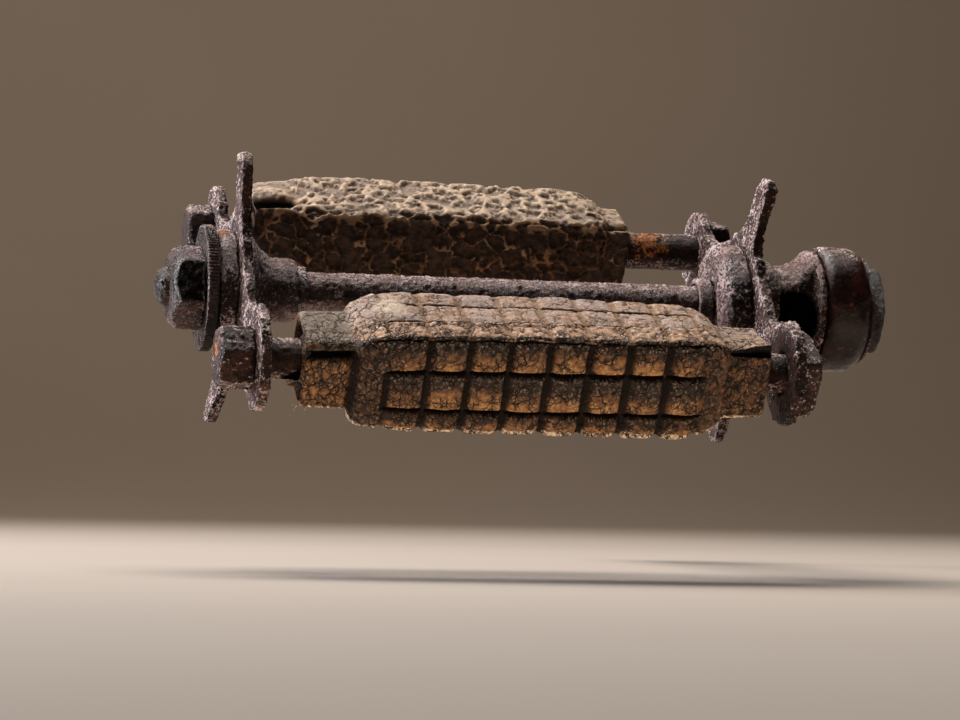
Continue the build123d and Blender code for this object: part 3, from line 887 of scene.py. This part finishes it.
    # the right end's top has curled up off the slit
    s_top = (1.5 + t) * 4.64
    curl = np.where(on_top, ramp(s_top, 10.0, 0.4), 0) * np.where(s_top > 0.25, 1, 0)
    v[..., 2] += outside * curl * 1.25 * ramp(x, 89.4, 97.8)
    # a torn lobe behind, below the left end
    torn = (((side == BOTTOM) & (t < -0.3)) | ((side == BACK) & (t > 0.6))) * share
    v[..., 0] -= 1.3 * torn * ramp(x, 10.5, 7.8) * (share > 0.5)
    mesh = grid_mesh("front_rubber", centre_on_bolt(v.reshape(-1, 3), -1).reshape(v.shape))
    return mesh, rest, dict(
        # groove: where grooves, saw lines and the nick lie; in front the colour paints them near-black as shade
        groove=np.clip((inside * (1 - mesa * mesa_t) * np.where(first, depth, np.where(last, 0.45, 1.0))
                        + 0.8 * saw * inside + 0.8 * nick) * outside, 0, 1),
        seam=np.where(at_ft, corner, 0) * body * outside,
        slit=np.clip(slit + np.where(at_ft, bell(s_mm, 0.75), 0.0) * ramp(x, 89.6, 91.0) * outside, 0, 1),
        spot=spot * outside, scar=np.clip(scar, 0, 1) * outside,
        face=np.where(on_top, 1.0, 0.0),
        # low: where painted light from below goes, the lower part of each front pad
        low=np.where(on_front, ramp(across + 0.05 * V[..., 4], 0.38, -0.40)
                     * (0.45 + 0.55 * (1 - u * u)) * ramp(edge_t, 0.10, 0.9), 0.3) * inside,
        row1=np.where(on_top & (t < -0.45), 1.0, 0.0),
        brow=np.where(on_front, ramp(t, 1.02, 1.38), np.where(on_top, ramp(t, -1.24, -1.44), 0.0)) * body,
        zone=ramp(x, 34.0, 17.0) * np.ones_like(x),
        under=np.where(on_front, ramp(t, 0.72, 1.0), 0.0) * ramp(x, 17.0, 16.2),
        # rim: the bottom edge, where painted rim light goes
        rim=np.where(on_front, ramp(t, -1.36, -1.47), np.where(side == BOTTOM, ramp(t, 1.1, 1.45), 0)),
        # high: where painted shade goes, the upper part of each front pad; on top, its front edge
        high=np.where(on_front, ramp(across + 0.06 * V[..., 3], -0.12, 0.30)
                      * np.choose(row + 1, (0.40, 1.45, 1.0)),
                      np.where(on_top, ramp(t, -1.24, -1.44), 0.0)) * inside,
        tone=V[..., 5] * inside,
        end=np.clip(ramp(x, 17.2, 15.6) + ramp(x, 88.9, 89.6), 0, 1) * np.ones_like(x))


def rear_rubber():
    keys = [
        (6.6, 6.9, 7.0, 6.9, 8.8, 1.5, 2.2, 2.6, 2.2),
        (7.0, 7.2, 7.3, 7.2, 9.8, 1.6, 2.4, 2.8, 2.4),
        (11.0, 7.4, 7.6, 7.3, 10.2, 1.8, 2.6, 2.8, 2.4),
        (14.8, 7.8, 8.4, 7.6, 10.3, 2.2, 3.0, 3.0, 2.6),
        (16.4, 9.2, 9.6, 9.0, 10.5, 3.0, 3.2, 3.4, 3.4),
        (18.6, 10.3, 10.3, 10.1, 10.7, 3.4, 3.2, 3.4, 3.8),
        (30.0, 10.6, 10.6, 10.4, 10.7, 3.6, 3.0, 3.2, 3.6),
        (60.0, 10.7, 10.6, 10.5, 10.5, 3.6, 3.0, 3.2, 3.4),
        (74.0, 10.6, 10.5, 10.5, 10.3, 3.6, 3.2, 3.2, 3.4),
        (78.5, 10.1, 10.0, 10.1, 9.9, 3.6, 3.6, 3.6, 3.6),
        (80.8, 9.0, 9.0, 9.1, 8.8, 3.4, 3.4, 3.4, 3.4),
        (82.0, 7.7, 7.7, 7.8, 7.8, 2.6, 2.8, 2.8, 2.8),
        (83.0, 7.2, 7.3, 7.2, 7.4, 1.8, 2.4, 2.8, 2.4),
        (86.0, 7.0, 7.1, 7.0, 7.2, 1.6, 2.4, 2.6, 2.4),
        (86.5, 6.6, 6.7, 6.6, 6.8, 1.5, 2.2, 2.4, 2.2)]
    g, nor, x, side, t, share = rubber_grid(keys, 274, 268, [(16.0, 1.0), (81.5, 1.0)],
                                            4.02, (1.8, 1.2), [(6.6, 4.0), (86.5, 4.0)])
    outside = share > 0.99
    nor = smooth_grid(nor, 2)
    nor /= np.maximum(np.linalg.norm(nor, axis=2, keepdims=True), 1e-6)
    rest = centre_on_bolt(g.reshape(-1, 3), 1)
    f = {k: a.reshape(x.shape) for k, a in fields(rest, {
        "broad": dict(kind="noise", f=0.10, detail=2.0, shift=50.0),
        "mid": dict(kind="noise", f=0.38, detail=2.0, shift=53.0),
        "fine": dict(kind="noise", f=1.2, detail=2.0, rough=0.6, shift=55.0),
        "patch": dict(kind="noise", f=0.22, detail=2.0, shift=58.0),
        "ridge": dict(kind="edge", **RIDGES),
        "vein": dict(kind="edge", **VEINS),
    }).items()}
    on_front, on_top = side == FRONT, side == TOP
    # "low" is 0 on the dusty top and 1 where the skin has gone, in front and below
    low = np.select([on_front, on_top, side == BACK],
                    [ramp(t, 1.55, 1.10), ramp(t, -1.2, -1.7), ramp(t, -1.55, -1.10)], 1.0)
    # ridges: broad and fused on the top, thin webs over hollows in front
    dist = f["ridge"] / RIDGES["f"]
    half = 0.22 - 0.18 * low + (0.9 - 0.5 * low) * (f["mid"] - 0.5)
    ridge = ramp(dist - half, 0.55 - 0.20 * low, -0.10)
    deep = np.select([on_front, side == BACK], [ramp(t, 0.9, -0.5), ramp(t, -0.9, 0.5)],
                     np.where(on_top, 0.0, 1.0))
    gone = ramp(f["patch"], 0.44 + 0.05 * deep, 0.37 + 0.05 * deep)
    ridge = ridge * (1 - 0.92 * gone)
    vein = ramp(f["vein"] / VEINS["f"], 0.42 - 0.22 * low, 0.05) * ramp(f["mid"], 0.44, 0.56)
    high = np.clip(ridge + (0.55 - 0.30 * low) * vein, 0, 1)
    hollow = 1 - high
    body = ramp(x, 13.0, 18.0) * ramp(x, 83.5, 80.0)
    d = -hollow * (0.70 + 0.62 * low) * (0.35 + 0.65 * body)
    d = d + 0.6 * (f["broad"] - 0.5) + 0.5 * (f["mid"] - 0.5) + 0.30 * (f["fine"] - 0.5) - 0.20
    # slits along the top's front edge at both ends
    s_l = (t + 0.72) * 5.0
    slit = np.where(on_top, ramp(x, 16.8, 13.4) * bell(s_l, 2.1 - 0.10 * (x - 6.6)), 0)
    s_r = (t + 0.95) * 5.0
    slit = slit + np.where(on_top, ramp(x, 80.6, 82.0) * bell(s_r, 1.15), 0)
    slit = np.clip(slit, 0, 1) * outside
    d = d - 3.2 * slit
    # the corner in front of the left slit stays at the narrow end's own level
    lip = np.where(on_top & (t < -1.0), 1.0, 0.0) * ramp(x, 15.4, 13.0)
    d = d - 1.8 * lip * ramp(t, -0.8, -1.2)
    d = np.where(outside, d, np.where(share > 0, 0.6 * (f["mid"] - 0.5) * share, 0))
    v = g + nor * d[..., None]
    mesh = grid_mesh("rear_rubber", centre_on_bolt(v.reshape(-1, 3), 1).reshape(v.shape))
    return mesh, rest, dict(
        groove=np.clip(hollow * outside, 0, 1), slit=slit, ridge=high * outside,
        low=low * np.ones_like(x), deep=deep * np.ones_like(x),
        end=np.clip(ramp(x, 16.4, 14.6) + ramp(x, 81.4, 82.6), 0, 1) * np.ones_like(x))


def front_look():
    L = Look("perished_front_rubber")
    groove, slit, spot = L.attr("groove"), L.attr("slit"), L.attr("spot")
    dust_and_underlight, low, end, scar = L.attr("dust_and_underlight"), L.attr("low"), L.attr("end"), L.attr("scar")
    tone, crest, face, high = L.attr("tone"), L.attr("crest"), L.attr("face"), L.attr("high")
    broad = L.tex("noise", 0.16, detail=3.0, shift=2.0)
    mid = L.tex("noise", 0.7, detail=4.0, rough=0.6, shift=4.0)
    fine = L.tex("noise", 1.7, detail=5.0, rough=0.72, shift=7.0)
    crack = L.mul(L.tex("edge", **CRACKS), 1 / CRACKS["f"])
    craze = L.mul(L.tex("edge", **CRAZE), 1 / CRAZE["f"])
    where = L.tex("noise", 0.42, detail=3.0, shift=31.0)
    # brown front: painted shade darkens the top of each pad and painted light from below makes its lower part
    # ochre; ochre also where it is rubbed
    v = L.add(L.add(L.mul(low, 0.40), L.mul(high, -0.40)), L.mul(tone, 0.06))
    v = L.add(v, L.add(L.mul(L.add(mid, -0.5), 1.5), L.mul(L.add(fine, -0.5), 0.9)))
    shore = L.mul(L.attr("zone"), L.add(L.mul(end, 0.34), -0.15))
    v = L.add(v, shore)
    v = L.add(v, L.add(L.mul(crest, 0.06), 0.35))
    color = L.mix(L.step(v, 0.08, 0.84), (0.025, 0.0140, 0.0095), (0.222, 0.102, 0.041))
    color = L.mix(L.mul(L.step(where, 0.50, 0.62), 0.45), color, (0.095, 0.052, 0.024))
    ochre = L.mix(L.step(fine, 0.40, 0.62), (0.295, 0.148, 0.056), (0.450, 0.248, 0.096))
    color = L.mix(L.step(v, 0.60, 1.05), color, ochre)
    # dust on what faces up
    sand = L.mix(L.step(mid, 0.40, 0.60), (0.232, 0.128, 0.073), (0.365, 0.242, 0.172))
    sand = L.mix(L.mul(L.step(broad, 0.44, 0.60), 0.8), sand, (0.290, 0.213, 0.180))
    sand = L.mix(L.mul(L.step(where, 0.52, 0.64), 0.65), sand, (0.225, 0.112, 0.052))
    sand = L.mix(L.mul(L.step(L.add(tone, L.mul(L.add(where, -0.5), 3.0)), 0.2, 1.6), 0.5),
                 sand, (0.285, 0.220, 0.202))
    row1, brow, zone = L.attr("row1"), L.attr("brow"), L.attr("zone")
    sand = L.mix(L.mul(row1, 0.62), sand, (0.415, 0.232, 0.126))
    tan = L.mul(row1, L.step(L.add(where, L.mul(mid, 0.6)), 0.70, 0.86))
    sand = L.mix(L.mul(tan, 0.80), sand, (0.170, 0.082, 0.040))
    lay = L.step(L.add(dust_and_underlight, L.mul(L.add(mid, -0.5), 0.9)), 0.34, 0.86)
    lay = L.mul(lay, L.add(1.0, L.mul(brow, -0.9)))
    color = L.mix(L.mul(lay, 0.92), color, sand)
    # scaly specks, light and dark
    light = L.step(L.add(fine, L.mul(crest, 0.05)), 0.53, 0.64)
    spread = L.add(L.mul(dust_and_underlight, 0.40), L.mul(L.step(where, 0.36, 0.56), 0.16))
    spread = L.add(spread, L.mul(L.add(L.mul(row1, 0.5), L.add(brow, L.mul(high, 0.4))), 0.22))
    color = L.mix(L.mul(light, spread), color, (0.620, 0.520, 0.440))
    pepper = L.add(L.add(0.14, L.mul(row1, 0.02)), L.mul(L.step(where, 0.40, 0.62), 0.24))
    pepper = L.mul(pepper, L.add(1.0, L.mul(end, -0.6)))
    color = L.mix(L.mul(L.step(fine, 0.47, 0.37), pepper), color, (0.030, 0.018, 0.012))
    # painted rim light: a pale cream line along the bottom edge, where light from below catches it
    wear_and_rim_light = L.mul(L.attr("rim"), L.step(L.add(fine, L.mul(mid, 0.5)), 0.62, 0.78))
    color = L.mix(L.mul(wear_and_rim_light, 0.9), color, (0.760, 0.600, 0.440))
    # narrow ends
    ash = L.mix(L.step(mid, 0.40, 0.60), (0.195, 0.160, 0.122), (0.105, 0.078, 0.056))
    color = L.mix(L.mul(L.mul(end, L.step(dust_and_underlight, 0.12, 0.45)), L.add(0.20, L.mul(zone, 0.66))), color, ash)
    color = L.mix(L.mul(L.attr("under"), 0.90), color, (0.052, 0.040, 0.031))
    # grooves, cracks, scars, slits
    soft = L.mul(L.step(groove, 0.20, 1.0), L.mul(face, 0.70))
    color = L.mix(soft, color, (0.225, 0.125, 0.062))
    shade = L.mul(L.step(groove, 0.10, 0.90), L.add(0.97, L.mul(face, -0.89)))
    color = L.mix(shade, color, (0.0065, 0.0036, 0.0027))
    seam = L.mul(L.step(L.attr("seam"), 0.20, 0.80), L.step(L.add(where, L.mul(fine, 0.4)), 0.62, 0.74))
    color = L.mix(L.mul(seam, 0.95), color, (0.010, 0.006, 0.005))
    more = L.add(L.mul(L.math("MAXIMUM", L.mul(end, 0.6), zone), 0.09),
                 L.add(L.mul(L.math("MAXIMUM", L.mul(row1, 0.3), brow), 0.10),
                       L.mul(L.step(dust_and_underlight, 0.5, 0.1), 0.045)))
    lines = L.step(crack, 0.125, 0.045)
    lines = L.mul(lines, L.step(L.add(L.add(where, L.mul(fine, 0.30)), more), 0.59, 0.69))
    hair = L.mul(L.step(craze, 0.100, 0.045),
                 L.step(L.add(L.add(where, L.mul(fine, 0.3)), L.mul(more, 0.8)), 0.64, 0.74))
    hair = L.mul(hair, L.add(1.0, L.mul(L.add(face, L.mul(row1, -1.0)), -0.55)))
    color = L.mix(L.mul(lines, L.add(0.94, L.mul(face, -0.20))), color, (0.010, 0.006, 0.004))
    color = L.mix(L.mul(hair, 0.88), color, (0.012, 0.007, 0.005))
    color = L.mix(L.mul(L.step(spot, 0.10, 0.80), 0.78), color, (0.500, 0.395, 0.295))
    color = L.mix(L.mul(L.step(scar, 0.25, 0.8), 0.70), color, (0.018, 0.010, 0.007))
    specks = L.mul(L.step(L.tex("noise", 1.1, detail=3.0, shift=44.0), 0.66, 0.72), 0.6)
    color = L.mix(specks, color, (0.300, 0.080, 0.035))
    # painted shade: the slits near-black inside
    color = L.mix(L.step(slit, 0.12, 0.45), color, (0.003, 0.0025, 0.002))
    rough = L.add(L.mul(L.step(dust_and_underlight, 0.2, 0.7), 0.25), L.add(L.mul(fine, 0.30), 0.34))
    rough = L.add(rough, L.mul(shade, 0.35))
    height = L.add(fine, L.mul(lines, -0.6))
    height = L.add(height, L.mul(hair, -0.4))
    return L.done(color, rough, L.bump(height, 0.30), Specular_IOR_Level=0.16)


def rear_look():
    L = Look("perished_rear_rubber")
    groove, slit, ridge = L.attr("groove"), L.attr("slit"), L.attr("ridge")
    dust_and_underlight, low, end, crest = L.attr("dust_and_underlight"), L.attr("low"), L.attr("end"), L.attr("crest")
    mid = L.tex("noise", 0.55, detail=4.0, rough=0.6, shift=64.0)
    fine = L.tex("noise", 1.4, detail=5.0, rough=0.72, shift=67.0)
    color = L.mix(L.step(mid, 0.38, 0.62), (0.038, 0.025, 0.019), (0.118, 0.070, 0.046))
    color = L.mix(L.mul(L.step(low, 0.9, 0.2), 0.85), color, (0.125, 0.082, 0.056))
    deep = L.attr("deep")
    skin = L.mix(L.step(L.add(mid, L.mul(L.add(deep, -0.5), 0.3)), 0.40, 0.62),
                 (0.460, 0.290, 0.165), (0.460, 0.212, 0.082))
    skin = L.mix(L.mul(L.step(L.tex("noise", 0.22, detail=2.0, shift=71.0), 0.40, 0.56), low),
                 skin, (0.190, 0.095, 0.048))
    color = L.mix(L.mul(L.step(L.add(ridge, L.mul(L.add(fine, -0.5), 0.8)), 0.42, 0.90), 0.9),
                  color, skin)
    sand = L.mix(L.step(fine, 0.42, 0.60), (0.155, 0.103, 0.072), (0.265, 0.190, 0.140))
    sand = L.mix(L.mul(L.step(mid, 0.52, 0.62), 0.7), sand, (0.225, 0.178, 0.152))
    pale = L.mix(L.step(mid, 0.40, 0.62), (0.400, 0.290, 0.200), (0.285, 0.210, 0.152))
    pale = L.mix(L.mul(L.step(fine, 0.50, 0.40), 0.35), pale, (0.150, 0.104, 0.074))
    cream = L.step(L.add(ridge, L.mul(L.add(fine, -0.5), 0.8)), 0.20, 0.95)
    top = L.mul(L.step(L.add(dust_and_underlight, L.add(L.mul(crest, 0.06), L.mul(L.add(mid, -0.5), 0.5))),
                       0.30, 0.75), 0.92)
    color = L.mix(top, color, L.mix(cream, sand, pale))
    color = L.mix(L.mul(L.step(crest, -0.45, -1.2), 0.45), color, (0.050, 0.034, 0.025))
    color = L.mix(L.mul(L.mul(L.step(groove, 0.5, 1.0), 0.35), L.step(dust_and_underlight, 0.6, 0.1)),
                  color, (0.012, 0.008, 0.007))
    # painted shade: the slits near-black inside
    color = L.mix(L.step(slit, 0.15, 0.50), color, (0.003, 0.0025, 0.002))
    rough = L.add(L.mul(fine, 0.25), 0.50)
    return L.done(color, rough, L.bump(fine, 0.28), Specular_IOR_Level=0.10)


def finish_rubber(name, made, node, mat, body="pedal"):
    mesh, rest, keeps = made
    v = verts_of(mesh)
    n = normals_of(mesh)
    # rings run so that some meshes come out inside out
    centre = v.mean(0)
    if np.einsum("ij,ij->", n, (v - centre) * (0, 1, 1)) < 0:
        mesh.flip_normals()
        n = normals_of(mesh)
    e = edges_of(mesh)
    near = averaged(v, e, 3)
    crest = averaged(np.einsum("ij,ij->i", n, v - near), e, 1) / 0.05
    up = (n @ np.array(to_row["platform"])[:3, :3].T)[:, 2]
    keep(mesh, "rest", rest)
    keep(mesh, "crest", np.clip(crest, -1.5, 1.5))
    flat = averaged(n, e, 14)
    flat_up = (flat @ np.array(to_row["platform"])[:3, :3].T)[:, 2]
    keep(mesh, "dust_and_underlight", ramp(flat_up, 0.05, 0.70) * ramp(up, -0.35, 0.80))
    for k, a in keeps.items():
        keep(mesh, k, np.ascontiguousarray(np.broadcast_to(a, (len(v) // a.shape[1], a.shape[1]))).ravel()
             if a.ndim == 2 else a)
    finish_piece(name, mesh, "platform", body, node, mat)


def fibres():
    """A few loose threads at the front block's left end, each a thin bent tube."""
    rng = np.random.default_rng(5)
    rows = []
    # start and way of growth, in platform mm, from the front bolt's centre
    starts = [((7.9, -3.8, -6.8), (-0.5, -0.3, -1.0), 3.6), ((8.3, -4.6, -6.9), (-0.9, -0.2, -0.8), 3.0),
              ((8.6, -3.0, -6.9), (0.2, -0.1, -1.0), 2.4), ((12.4, -2.0, 7.9), (-0.4, -0.1, 1.0), 2.3),
              ((13.2, -2.6, 7.8), (0.7, -0.2, 1.0), 2.0), ((11.8, -1.4, 7.9), (-1.0, 0.1, 0.5), 2.2),
              ((9.0, -5.4, -6.5), (-0.3, -0.6, -0.9), 2.0)]
    verts, faces = [], []
    for start, way, length in starts:
        p, d = np.array(start), np.array(way) / np.linalg.norm(way)
        steps, around, r = 14, 6, 0.13
        for i in range(steps + 1):
            a = np.cross(d, (0.3, 1.0, 0.2))
            a /= np.linalg.norm(a)
            b = np.cross(d, a)
            rr = r * (1 - 0.6 * i / steps)
            base = len(verts)
            for k in range(around):
                w = 2 * math.pi * k / around
                verts.append(p + rr * (a * math.cos(w) + b * math.sin(w)))
            if i:
                for k in range(around):
                    k2 = (k + 1) % around
                    faces.append((base - around + k, base - around + k2, base + k2, base + k))
            d = d + rng.normal(size=3) * 0.28
            d /= np.linalg.norm(d)
            p = p + d * length / steps
        faces.append(tuple(range(base + around - 1, base - 1, -1))[::-1])
        faces.append(tuple(range(base - around * steps, base - around * (steps - 1)))[::-1])
    mesh = bpy.data.meshes.new("fibres")
    mesh.from_pydata([tuple(v) for v in centre_on_bolt(np.array(verts), -1)], [], faces)
    rest = verts_of(mesh)
    keep(mesh, "rest", rest)
    L = Look("frayed_thread")
    tone = L.tex("noise", 1.2, detail=2.0)
    L.done(L.mix(L.step(tone, 0.4, 0.6), (0.20, 0.15, 0.11), (0.42, 0.34, 0.26)),
           L.add(L.mul(tone, 0.2), 0.7), L.bump(tone, 0.02), Specular_IOR_Level=0.1)
    finish_piece("frayed_threads", mesh, "platform", "pedal", None, L.mat)


fibres()
finish_rubber("worn_front_rubber", front_rubber(), "front_rubber", front_look())
finish_rubber("perished_rear_rubber", rear_rubber(), "rear_rubber", rear_look())


# ---- floor, backdrop, light -----------------------------------------------------------------
def studio():
    floor_z, back, bend, wall = -0.050, 0.80, 0.45, 1.1
    prof = [(y, floor_z) for y in np.linspace(-1.5, back, 22)]
    prof += [(back + bend * math.sin(a), floor_z + bend * (1 - math.cos(a)))
             for a in np.linspace(0.1, math.pi / 2, 14)]
    prof.append((back + bend, floor_z + bend + wall))
    xs = np.linspace(-2.8, 2.6, 34)
    verts = [(x, y, z) for y, z in prof for x in xs]
    n = len(xs)
    quads = [(i * n + j, i * n + j + 1, (i + 1) * n + j + 1, (i + 1) * n + j)
             for i in range(len(prof) - 1) for j in range(n - 1)]
    mesh = bpy.data.meshes.new("floor")
    mesh.from_pydata(verts, [], quads)
    mesh.polygons.foreach_set("use_smooth", np.ones(len(mesh.polygons), bool))
    L = Look("pale_floor")
    coord = L.tree.nodes.new("ShaderNodeTexCoord").outputs["Object"]
    soft = texture(L.tree, coord, "noise", 6.0, detail=3.0)
    col = L.mix(soft, (0.235, 0.200, 0.168), (0.262, 0.222, 0.188))
    L.put(L.bsdf.inputs["Base Color"], col)
    L.bsdf.inputs["Roughness"].default_value = 0.9
    L.bsdf.inputs["Specular IOR Level"].default_value = 0.2
    mesh.materials.append(L.mat)
    obj = bpy.data.objects.new("floor", mesh)
    bpy.context.scene.collection.objects.link(obj)

    world = bpy.data.worlds.new("studio")
    bpy.context.scene.world = world
    world.use_nodes = True
    bg = world.node_tree.nodes["Background"]
    bg.inputs[0].default_value = (0.90, 0.93, 1.0, 1)
    bg.inputs[1].default_value = 0.012

    target = Vector((-0.075, -0.14, 0.0))
    # name, place, size, power, spread, colour
    for name, at, size, power, spread, color in [
            ("key", (-0.20, 0.12, 0.75), (0.70, 0.50), 9.0, 130, (1.0, 0.955, 0.90)),
            ("left", (-0.85, 0.22, 0.28), (0.45, 0.45), 5.0, 90, (0.90, 0.92, 1.0)),
            ("wall", (-0.10, 0.55, 0.95), (1.4, 0.30), 6.2, 160, (1.0, 0.85, 0.70)),
            ("window", (-0.62, -0.95, 0.52), (0.12, 0.12), 0.25, 160, (0.80, 0.90, 1.0)),
            ("bounce", (-0.06, -0.222, -0.047), (0.50, 0.10), 0.22, 180, (1.0, 0.80, 0.60))]:
        data = bpy.data.lights.new(name, "AREA")
        data.shape, data.size, data.size_y = "RECTANGLE", *size
        data.energy, data.color, data.spread = power, color, math.radians(spread)
        lamp = bpy.data.objects.new(name, data)
        bpy.context.scene.collection.objects.link(lamp)
        lamp.location = at
        aim = {"wall": Vector((-0.1, 1.25, 0.30)), "bounce": Vector((-0.06, -0.25, 0.10))}.get(name, target)
        lamp.rotation_euler = (aim - Vector(at)).to_track_quat("-Z", "Y").to_euler()
        lamp.visible_camera = False
    view = bpy.context.scene.view_settings
    view.view_transform, view.look = "Standard", "None"


studio()
